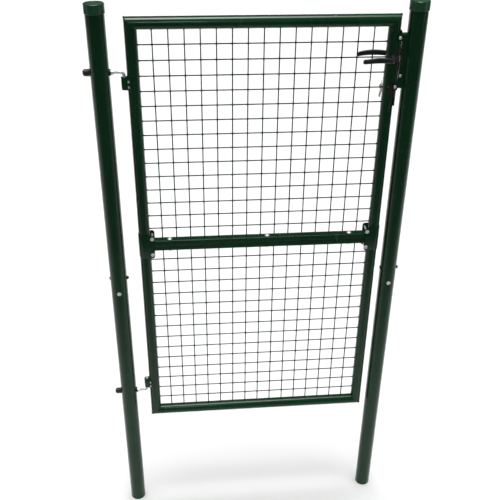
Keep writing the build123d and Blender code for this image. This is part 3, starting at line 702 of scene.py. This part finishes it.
class GATE_OT_hinge_fittings(bpy.types.Operator):
    """Make the hinge rods' saddle washers, nuts and domed end caps"""

    bl_idname = "gate.hinge_fittings"
    bl_label = "Hinge fittings"

    def execute(self, context):
        washers, nuts, caps = Skin(), Skin(), Skin()
        steps = 64
        angle = circle(steps)
        level = np.ones(steps)
        seat_r = POST_R - 0.4
        first, second = across(X)

        def on_post(radius):
            """Height on the post's round side, at each point of a ring round the X axis."""
            y = radius * (np.cos(angle) * first[1] + np.sin(angle) * second[1])
            return np.sqrt(seat_r**2 - y**2)

        for node in ("upper_hinge_rod", "lower_hinge_rod"):
            low, high = span(node)
            rod_z = high[2] - ROD_R if node.startswith("upper") else low[2] + ROD_R
            centre = (0, 0, rod_z)
            radii = np.outer([5.2, 10.9, 11, 11, 10.4, 5.2], level)
            heights = [on_post(5.2), on_post(10.9), on_post(11) + 0.4]
            heights += [34.4 * level, 35 * level, 35 * level]
            washers.grid(turned(centre, X, radii, np.array(heights), steps), closed=True)
            radii = np.outer([5.2, 9.4, 9.4, 5.2], level)
            heights = np.array([on_post(5.2), on_post(9.4), 33 * level, 33 * level])
            washers.grid(turned(centre, -X, radii, heights, steps), closed=True)
            nut(nuts, (35, 0, rod_z), X, 8.0, 8, 4.8)
            nut(nuts, (-33, 0, rod_z), -X, 8.0, 8, 4.8)
            tip = np.radians(np.linspace(0, 88, 12))
            radii = [11.0 * level, 11.9 * level, 11.9 * level, 11.5 * level]
            heights = [on_post(11.0), on_post(11.9), on_post(11.9) + 2.2, on_post(11.5) + 2.8]
            radii += [(3.2 + 8.3 * c) * level for c in np.cos(tip)]
            heights += [(44.5 + 8.5 * s) * level for s in np.sin(tip)]
            radii += [0.4 * level]
            heights += [53 * level]
            caps.grid(turned(centre, -X, np.array(radii), np.array(heights), steps))
        stand_for(washers, "hinge_saddle_washers")
        stand_for(nuts, "hinge_nuts")
        stand_for(caps, "hinge_end_caps")
        return {"FINISHED"}


def rivet_places():
    """Points on the hinge stile's flanges where the rivets sit, each with its direction."""
    stile_x = middle("upper_hinge_stile")[0]
    places = []
    for node in ("upper_hinge_eye", "lower_hinge_eye"):
        z = middle(node)[2]
        for dz in (-9, 9):
            for side in (-1, 1):
                out = np.array([-cos(radians(45)), side * sin(radians(45)), 0])
                places.append((np.array([stile_x, 0, z + dz]) + 22.0 * out, out))
    return places


class GATE_OT_hinge_eyes(bpy.types.Operator):
    """Make the folded eyes on the hinge stile and their rivets"""

    bl_idname = "gate.hinge_eyes"
    bl_label = "Hinge eyes"

    def execute(self, context):
        sheet = context.scene.gate_sizes.sheet / MM
        stile_x = middle("upper_hinge_stile")[0]
        flange, loop = 21.3, 9.5
        for node in ("upper_hinge_eye", "lower_hinge_eye"):
            low, high = span(node)
            z = (low[2] + high[2]) / 2
            axis_x = low[0] + loop + sheet / 2
            meet = np.degrees(np.arcsin(loop / flange))
            half = np.vstack(
                [
                    arc((stile_x, 0, z), flange, 106, 180 - meet - 6, 16),
                    [(stile_x - flange * cos(radians(meet)) - 3.5, loop, z), (axis_x, loop, z)],
                    arc((axis_x, 0, z), loop, 90, 180, 14),
                ]
            )
            path = np.vstack([half, (half * (1, -1, 1))[::-1][1:]])
            path = even(path, 120)
            kernel = np.ones(5) / 5
            for _ in range(2):
                smooth = [np.convolve(path[:, k], kernel, "valid") for k in range(3)]
                path[2:-2] = np.stack(smooth, -1)
            skin = Skin()
            strip(skin, path, high[2] - low[2], sheet, 3.0, 0.5)
            stand_for(skin, node)
        rivets = Skin()
        for point, out in rivet_places():
            dome(rivets, point, out, 4, 2.0, 0, 32)
        stand_for(rivets, "hinge_rivets")
        return {"FINISHED"}


# ---- leaf frame


CORNERS = (
    ("top_rail", "upper_hinge_stile", 1, 1),
    ("top_rail", "upper_lock_stile", -1, 1),
    ("bottom_rail", "lower_hinge_stile", 1, -1),
    ("bottom_rail", "lower_lock_stile", -1, -1),
)


def corner_point(rail, stile):
    """Where a rail's axis meets a stile's axis."""
    return np.array([middle(stile)[0], 0, middle(rail)[2]])


class GATE_OT_leaf_frame(bpy.types.Operator):
    """Make the mitred frame tubes of the leaf.

    A point on a tube stands at its angle round the axis, and its end lies on the plane
    that halves the corner, so the end's height changes with the offset across it.
    """

    bl_idname = "gate.leaf_frame"
    bl_label = "Leaf frame"

    def execute(self, context):
        radius = FRAME_R
        angle = circle(80)
        joint_z = span("upper_hinge_stile")[0][2]
        for rail, stile, inward, outward in CORNERS:
            x, _, z = corner_point(rail, stile)
            if stile == "upper_lock_stile":
                continue
            dx, dy = radius * np.cos(angle), radius * np.sin(angle)
            end = z - inward * outward * dx
            rows = [(0.6, 0 * dx + joint_z), (0, 0 * dx + joint_z + outward * 0.6), (0, end)]
            points = [
                columns(x + dx * (1 - cut / radius), dy * (1 - cut / radius), height)
                for cut, height in rows
            ]
            skin = Skin()
            skin.grid(points)
            stand_for(skin, stile)
        for rail in ("top_rail", "bottom_rail"):
            ends = [c for c in CORNERS if c[0] == rail]
            dz, dy = radius * np.cos(angle), radius * np.sin(angle)
            points = []
            for _, stile, inward, outward in ends:
                x, _, z = corner_point(rail, stile)
                points.append(columns(x - inward * outward * dz, dy, z + dz))
            skin = Skin()
            skin.grid(points)
            stand_for(skin, rail)
        return {"FINISHED"}


class GATE_OT_weld_beads(bpy.types.Operator):
    """Make the weld beads round the mitred corners.

    The bead's line is the ellipse where the tubes meet; its own radius rises and falls
    a little along it, like the ripples that a welder leaves.
    """

    bl_idname = "gate.weld_beads"
    bl_label = "Weld beads"

    def execute(self, context):
        bead = context.scene.gate_sizes.bead / MM
        rows = 264
        turn = circle(rows)
        ripple = 1 + 0.13 * np.abs(np.sin(33 * turn)) + 0.08 * np.sin(5 * turn + 1.0)
        angle = circle(10)
        outline = columns(np.cos(angle), np.sin(angle))
        skin = Skin()
        r = FRAME_R - 0.4
        for rail, stile, inward, outward in CORNERS:
            x, _, z = corner_point(rail, stile)
            dx = r * np.cos(turn)
            path = columns(x + dx, r * np.sin(turn), z - inward * outward * dx)
            side = np.array([inward * outward, 0, 1]) / np.sqrt(2)
            section = (bead * ripple)[:, None, None] * outline
            skin.grid(carried(path, section, side, closed=True), closed=True)
        skin.piece("weld_beads", "leaf", finish_of("green_coating"), (), "green_coating")
        return {"FINISHED"}


class GATE_OT_mid_bars(bpy.types.Operator):
    """Make the two bolted middle bars, rectangular tubes with round corners"""

    bl_idname = "gate.mid_bars"
    bl_label = "Middle bars"

    def execute(self, context):
        for node in ("upper_mid_bar", "lower_mid_bar"):
            low, high = span(node)
            z = (low[2] + high[2]) / 2
            section = rounded(high[1] - low[1], high[2] - low[2] - 0.1, 3.0, 8)
            xs = np.linspace(low[0] + 6, high[0] - 6, 3)
            path = columns(xs, 0, z)
            skin = Skin()
            skin.grid(carried(path, section, Z))
            stand_for(skin, node)
        bolts, nuts = Skin(), Skin()
        top = span("upper_mid_bar")[1][2]
        under = span("lower_mid_bar")[0][2]
        for x in BAR_BOLT_XS:
            dome(bolts, (x, 0, top), Z, 8.5, 4.5)
            threaded(bolts, (x, 0, under + 1), -Z, 4, 10)
            nut(nuts, (x, 0, under), -Z, 6.5, 6.5, 3.6)
        stand_for(bolts, "mid_bar_bolts")
        stand_for(nuts, "mid_bar_nuts")
        return {"FINISHED"}


class GATE_OT_joint_straps(bpy.types.Operator):
    """Make the straps that clamp the middle bars to the stiles, with their bolts"""

    bl_idname = "gate.joint_straps"
    bl_label = "Joint straps"

    def execute(self, context):
        sheet = context.scene.gate_sizes.sheet / MM
        bolts, nuts = Skin(), Skin()
        for node, inward in (("hinge_joint_strap", 1), ("lock_joint_strap", -1)):
            low, high = span(node)
            mid_z = (low[2] + high[2]) / 2
            outer = (high[1] - low[1]) / 2
            r = outer - sheet / 2
            x = low[0] + outer if inward > 0 else high[0] - outer
            tip_x = high[0] if inward > 0 else low[0]
            bend = arc((0, 0, mid_z), r, 90, 270, 40) * (inward, 1, 1) + (x, 0, 0)
            path = np.vstack([[(tip_x, r, mid_z)], bend, [(tip_x, -r, mid_z)]])
            skin = Skin()
            strip(skin, even(path, 130), high[2] - low[2], sheet, 9.0, 0.5)
            stand_for(skin, node)
            for z in (mid_z - 32, mid_z + 32):
                bolt_x = x + inward * 27
                dome(bolts, (bolt_x, -outer, z), -Y, 7, 3.5, 2.2)
                threaded(bolts, (bolt_x, outer - 1, z), Y, 3, 8, 1.0)
                bolts.grid(turned((bolt_x, -outer + 0.5, z), Y, [3, 3], [0, 2 * outer - 1], 16))
                nut(nuts, (bolt_x, outer, z), Y, 5.0, 5, 2.7)
        stand_for(bolts, "strap_bolts")
        stand_for(nuts, "strap_nuts")
        return {"FINISHED"}


# ---- mesh


def wire_grid(skin, starts, direction, length, crossings, swell, reach):
    """Straight coated wires, all at once.

    The radius is 2 mm plus a swell that fades as exp(-(distance / 2.4 mm) squared) from
    each crossing, and a wider one at both ends, where the wire is welded to the tube.
    """
    near = np.array([0, 1.0, 2.2, 4, 7])
    offsets = np.array([-6, -3.6, -2.2, -1.0, 0, 1.0, 2.2, 3.6, 6])
    places = np.r_[near, length - near, (crossings[:, None] + offsets).ravel()]
    along = np.unique(np.round(places, 3))
    along = along[(along >= 0) & (along <= length)]
    gap = np.abs(along[:, None] - crossings).min(axis=1)
    to_end = np.minimum(along, length - along)
    radius = WIRE_R + swell * np.exp(-((gap / 2.4) ** 2))
    radius = radius + reach * np.exp(-((to_end / 2.6) ** 2))
    angle = circle(10)
    first, second = across(direction)
    spoke = np.cos(angle)[:, None] * first + np.sin(angle)[:, None] * second
    line = along[:, None] * direction
    one = line[:, None] + radius[:, None, None] * spoke
    for start in starts:
        skin.grid(start + one)


class GATE_OT_mesh(bpy.types.Operator):
    """Make the four layers of welded mesh wire"""

    bl_idname = "gate.mesh"
    bl_label = "Welded mesh"

    def execute(self, context):
        swell = context.scene.gate_sizes.weld_swell / MM
        for half in ("upper", "lower"):
            up_low, up_high = span(f"{half}_mesh_uprights")
            cross_low, cross_high = span(f"{half}_mesh_cross_wires")
            xs = np.linspace(up_low[0] + WIRE_R, up_high[0] - WIRE_R, MESH_COLUMNS)
            zs = np.linspace(cross_low[2] + WIRE_R, cross_high[2] - WIRE_R, MESH_ROWS)
            uprights, cross = Skin(), Skin()
            low, length = up_low[2] - 2, up_high[2] - up_low[2] + 4
            starts = columns(xs, -1.7, low)
            wire_grid(uprights, starts, Z, length, zs - low, swell, 1.6)
            low, length = cross_low[0] - 1, cross_high[0] - cross_low[0] + 2
            starts = columns(low, 1.7, zs)
            wire_grid(cross, starts, X, length, xs - low, swell, 1.6)
            stand_for(uprights, f"{half}_mesh_uprights")
            stand_for(cross, f"{half}_mesh_cross_wires")
        return {"FINISHED"}


# ---- lock


class GATE_OT_lock_clips(bpy.types.Operator):
    """Make the bent clips that hold the forend to the stile, and their screws"""

    bl_idname = "gate.lock_clips"
    bl_label = "Lock clips"

    def execute(self, context):
        sheet = context.scene.gate_sizes.sheet / MM
        low, high = span("lock_clips")
        screw_x = middle("clip_screws")[0]
        height = 23.0
        y = high[1] - sheet / 2
        web_x = high[0] - sheet / 2
        clips, screws = Skin(), Skin()
        for z in (low[2] + height / 2, high[2] - height / 2):
            bend = arc((web_x - 4, y - 4, z), 4, 90, 0, 9)
            half = np.vstack([[(low[0], y, z)], bend])
            path = np.vstack([half, (half * (1, -1, 1))[::-1]])
            strip(clips, even(path, 90), height, sheet, 2.5, 0.4)
            for side in (-1, 1):
                dome(screws, (screw_x, side * high[1], z), (0, side, 0), 5, 3, 1.7)
        stand_for(clips, "lock_clips")
        stand_for(screws, "clip_screws")
        return {"FINISHED"}


def squared_circle(steps, power):
    """Cosines and sines round a circle, each raised to a power with its sign kept."""
    angle = circle(steps)
    return [np.sign(a) * np.abs(a) ** power for a in (np.cos(angle), np.sin(angle))]


class GATE_OT_levers(bpy.types.Operator):
    """Make the roses and the two lever handles.

    A lever's section is a rounded oval, |x / a| to the power 3.2 plus |z / b| to the power
    3.2 equals 1, carried out of the rose, round a bend and along the grip, which arches a
    little and thins towards its tip.
    """

    bl_idname = "gate.levers"
    bl_label = "Levers"

    def execute(self, context):
        centre = middle("spindle")
        oval = columns(*squared_circle(28, 2 / 3.2))
        roses = Skin()
        for node, side in (("front_lever", -1), ("rear_lever", 1)):
            low, high = span(node)
            x, _, z = centre
            out = (high[1] if side > 0 else -low[1]) - 5.0
            tip_x = low[0]
            bend = np.radians(np.linspace(0, 90, 14))
            curl = np.radians(np.linspace(0, 52, 10))
            bend_r, curl_r = 14, 20.0
            curl_x = tip_x + 3 + curl_r * sin(curl[-1])
            neck = [(x, 26.0, 0), (x, out - bend_r, 0)]
            elbow = columns(
                x - bend_r + bend_r * np.cos(bend), out - bend_r + bend_r * np.sin(bend), 0
            )
            end = columns(curl_x - curl_r * np.sin(curl), out - curl_r * (1 - np.cos(curl)), 0)
            path = even(np.vstack([neck, elbow, end]), 90)
            share = np.linspace(0, 1, len(path))
            grip = np.clip((share - 0.22) / 0.78, 0, 1)
            half_thick = 5.0 - 0.9 * grip + 1.3 * np.clip(0.2 - share, 0, 0.2) / 0.2
            half_high = 8.5 - 1.2 * grip + 0.9 * np.sin(pi * grip) ** 2
            tip = np.clip((share - 0.955) / 0.045, 0, 1)
            ease = np.sqrt(np.maximum(1 - tip**2, 0.03))
            section = oval * (np.stack([half_thick, half_high], -1) * ease[:, None])[:, None]
            points = carried(path, section, Z)
            points[..., 1] *= side
            points[..., 2] += (z + 3.0 * np.sin(pi * grip) - 3.0 * grip**2)[:, None]
            skin = Skin()
            skin.grid(points)
            hub = [8.0, 8.0, 9.8, 10.2, 9.8, 8.6, 8.2]
            depths = [13, 27.3, 27.3, 28.4, 29.6, 30.2, 34]
            skin.grid(turned((x, 0, z), side * Y, hub, depths, 40))
            stand_for(skin, node)
            rings = [10, 14.2, 14.4, 14.4, 13.7, 11.6, 11.3, 10.6, 10.3, 8.2, 8.2]
            depths = [12, 12, 12.6, 23.8, 25.4, 26.2, 25.8, 25.8, 26.6, 27.0, 12]
            roses.grid(turned((x, 0, z), side * Y, rings, depths, 56), closed=True)
        stand_for(roses, "lever_roses")
        return {"FINISHED"}


def key_shape(skin, hole, way, face, cut):
    """A flat key about its bow's hole; way leads to the tip and face is square to it.

    The bow is a ring between its hole and a rounded outline. The blade's lower edge is
    its half height less a row of V cuts, each of the depth given for its place.
    """
    up = np.cross(face, way)

    def lay(along, high, out):
        return hole + along[..., None] * way + high[..., None] * up + out[..., None] * face

    steps = 48
    outer_a, outer_h = (BOW_R * a for a in squared_circle(steps, 0.86))
    outer_a = outer_a + BOW_OFFSET
    inner_a, inner_h = (BOW_HOLE_R * a for a in squared_circle(steps, 1))
    rows = []
    for share, out in (
        (0.02, 0.75), (0, 0.5), (0, -0.5), (0.02, -0.75),
        (0.97, -0.75), (1, -0.5), (1, 0.5), (0.97, 0.75),
    ):
        across_bow = inner_a + share * (outer_a - inner_a)
        up_bow = inner_h + share * (outer_h - inner_h)
        rows.append(lay(across_bow, up_bow, np.full(steps, out * KEY_THICK / 1.5)))
    skin.grid(np.array(rows), closed=True)
    along = np.linspace(14, BLADE_END, 88)
    depths = np.array([0.5, 1.0, 0.35, 0.8, 0.2])
    places = np.linspace(23, 38, 5)
    slopes = np.abs(along[:, None] - places) * 1.05
    cuts = (depths * cut - slopes + 0.55).clip(0).max(axis=1)
    top = np.minimum(BLADE_HALF, BLADE_END + 0.4 - along)
    base = -BLADE_HALF + np.minimum(cuts, cut)
    base = np.maximum(base, along - BLADE_END - 3.1)
    half = KEY_THICK / 2
    groove = 0.45
    ring = []
    for place, out in (
        (0, -half + 0.15), (0.36, -half), (0.4, -half + groove), (0.6, -half + groove),
        (0.64, -half), (1, -half + 0.15), (1, half - 0.15), (0.82, half),
        (0.78, half - groove), (0.66, half - groove), (0.62, half), (0, half - 0.15),
    ):
        ring.append(lay(along, base + place * (top - base), np.full(len(along), out)))
    skin.grid(np.stack(ring, axis=1))


class GATE_OT_keys(bpy.types.Operator):
    """Make the key in the cylinder, the split ring and the two spare keys"""

    bl_idname = "gate.keys"
    bl_label = "Keys"

    def execute(self, context):
        sizes = context.scene.gate_sizes
        cut, wire = sizes.cut_depth / MM, sizes.ring_wire / MM
        hole = middle("key")
        hole[1] = span("key")[1][1] - BOW_R + BOW_OFFSET
        key = Skin()
        key_shape(key, hole, -Y, X, cut)
        stand_for(key, "key")
        ring_low, ring_high = span("key_ring")
        centre = middle("key_ring")
        radius = (ring_high[2] - ring_low[2]) / 2 - 0.8
        across_ring, through_ring = (X + Y) / sqrt(2), (Y - X) / sqrt(2)
        turn = np.linspace(0.1, 4 * pi - 0.25, 150)[:, None]
        ease = np.clip((turn - 2 * pi) / 0.7, -1, 1)
        path = centre + radius * (np.sin(turn) * across_ring + np.cos(turn) * Z)
        path = path + wire * 1.02 * ease * through_ring
        ring = Skin()
        ring.grid(carried(path, wire * columns(*squared_circle(8, 1)), through_ring))
        stand_for(ring, "key_ring")
        spare = Skin()
        for side, lean in ((-1, radians(12)), (1, radians(-6))):
            way = through_ring * sin(lean) - Z * cos(lean)
            hole = centre - radius * Z + way + side * 1.6 * across_ring
            key_shape(spare, hole, way, across_ring, cut)
        stand_for(spare, "spare_keys")
        return {"FINISHED"}


class GATE_OT_keep_bolt(bpy.types.Operator):
    """Make the bolt and nut through the keep"""

    bl_idname = "gate.keep_bolt"
    bl_label = "Keep bolt"

    def execute(self, context):
        x, _, z = middle("keep_bolt")
        bolt, lock_nut = Skin(), Skin()
        dome(bolt, (x, -KEEP_HALF, z), -Y, 5, 3, 1.7)
        bolt.grid(turned((x, 0.5 - KEEP_HALF, z), Y, [2.5, 2.5], [0, 2 * KEEP_HALF - 1], 16))
        threaded(bolt, (x, KEEP_HALF - 0.5, z), Y, 2.5, 6.5, 0.8)
        nut(lock_nut, (x, KEEP_HALF, z), Y, 4.0, 4, 2.2)
        stand_for(bolt, "keep_bolt")
        stand_for(lock_nut, "keep_nut")
        return {"FINISHED"}


class GATE_OT_cad_finishes(bpy.types.Operator):
    """Give every CAD node that stays in view its finish"""

    bl_idname = "gate.cad_finishes"
    bl_label = "Finishes"

    def execute(self, context):
        for node, made in frame["nodes"].items():
            if made.hide_render:
                continue
            made.data.materials.clear()
            finish = "dark_nickel" if node in DARKENED else SLOT_OF[node]
            made.data.materials.append(finish_of(finish))
        return {"FINISHED"}


# ---- stage


def area_light(name, place, aim, size, power, spread):
    """A soft rectangular light that faces its aim, spread so many degrees."""
    light = bpy.data.lights.new(name, "AREA")
    light.shape, light.size, light.size_y = "RECTANGLE", size[0], size[1]
    light.energy, light.spread = power, radians(spread)
    made = bpy.data.objects.new(name, light)
    made.location = place
    made.rotation_euler = (Vector(aim) - Vector(place)).to_track_quat("-Z", "Y").to_euler()
    bpy.context.scene.collection.objects.link(made)


class GATE_OT_stage(bpy.types.Operator):
    """Make the floor, the lights and the camera"""

    bl_idname = "gate.stage"
    bl_label = "Stage"

    def execute(self, context):
        scene, stage = context.scene, context.scene.gate_stage
        mesh = bpy.data.meshes.new("floor")
        half = 40.0
        corners = [(-half, -half, 0), (half, -half, 0), (half, half, 0), (-half, half, 0)]
        mesh.from_pydata(corners, [], [(0, 1, 2, 3)])
        paint = Finish("floor_paint", specular=0.1)
        tone = paint.noise(3, 2)
        pale = shade(scene.gate_colours.floor, 1.0)
        paint.finish(paint.blend(tone * 0.05, pale, shade(pale, 0.95)), 0.9 + tone * 0.05)
        mesh.materials.append(paint.material)
        floor = bpy.data.objects.new("floor", mesh)
        scene.collection.objects.link(floor)

        world = bpy.data.worlds.new("room")
        scene.world = world
        world.use_nodes = True
        background = world.node_tree.nodes["Background"]
        background.inputs["Color"].default_value = (1, 1, 1, 1)
        background.inputs["Strength"].default_value = stage.world
        area_light("overhead", (0.5, 5.3, 4.2), (0.5, 5.3, 0), (16, 13), stage.overhead, 40)
        area_light("key", (0.2, -2.9, 3.5), (0.45, 0, 1.3), (0.5, 0.4), stage.key_power, 180)
        area_light("left", (-3.0, -0.8, 2.2), (0.3, 0, 1.2), (0.3, 2.6), stage.left_power, 180)
        area_light("right", (3.4, -1.4, 2.4), (0.7, 0, 1.2), (0.3, 2.6), stage.right_power, 180)

        camera = bpy.data.cameras.new("camera")
        camera.sensor_width, camera.lens = 36.0, stage.lens
        camera.clip_end = 200
        made = bpy.data.objects.new("camera", camera)
        look = (
            Matrix.Rotation(-stage.turn, 4, "Z")
            @ Matrix.Rotation(pi / 2 - stage.tilt, 4, "X")
            @ Matrix.Rotation(stage.roll, 4, "Z")
        )
        made.matrix_world = Matrix.Translation(stage.eye) @ look
        scene.collection.objects.link(made)
        scene.camera = made
        scene.view_settings.view_transform = "Standard"
        return {"FINISHED"}


STEPS = (
    GATE_OT_posts, GATE_OT_caps, GATE_OT_splices, GATE_OT_hinge_rods, GATE_OT_hinge_fittings,
    GATE_OT_hinge_eyes, GATE_OT_leaf_frame, GATE_OT_weld_beads, GATE_OT_mid_bars,
    GATE_OT_joint_straps, GATE_OT_mesh, GATE_OT_lock_clips, GATE_OT_levers, GATE_OT_keys,
    GATE_OT_keep_bolt, GATE_OT_cad_finishes, GATE_OT_stage,
)


class GATE_PT_panel(bpy.types.Panel):
    """Lists the gate's pieces and settings in the sidebar"""

    bl_idname = "GATE_PT_panel"
    bl_label = "Garden Gate"
    bl_space_type = "VIEW_3D"
    bl_region_type = "UI"
    bl_category = "Garden Gate"

    def draw(self, context):
        for step in STEPS:
            self.layout.operator(step.bl_idname)
        for group in (
            context.scene.gate_sizes, context.scene.gate_colours, context.scene.gate_stage,
        ):
            box = self.layout.box()
            for key in group.bl_rna.properties.keys():
                if key not in ("rna_type", "name"):
                    box.prop(group, key)


GROUPS = (GateSizes, GateColours, GateStage)


def register():
    for kind in GROUPS + STEPS + (GATE_PT_panel,):
        bpy.utils.register_class(kind)
    bpy.types.Scene.gate_sizes = PointerProperty(type=GateSizes)
    bpy.types.Scene.gate_colours = PointerProperty(type=GateColours)
    bpy.types.Scene.gate_stage = PointerProperty(type=GateStage)


def unregister():
    for name in ("gate_sizes", "gate_colours", "gate_stage"):
        delattr(bpy.types.Scene, name)
    for kind in reversed(GROUPS + STEPS + (GATE_PT_panel,)):
        bpy.utils.unregister_class(kind)


def main():
    register()
    for step in STEPS:
        group, name = step.bl_idname.split(".")
        getattr(getattr(bpy.ops, group), name)()


if __name__ == "__main__":
    main()
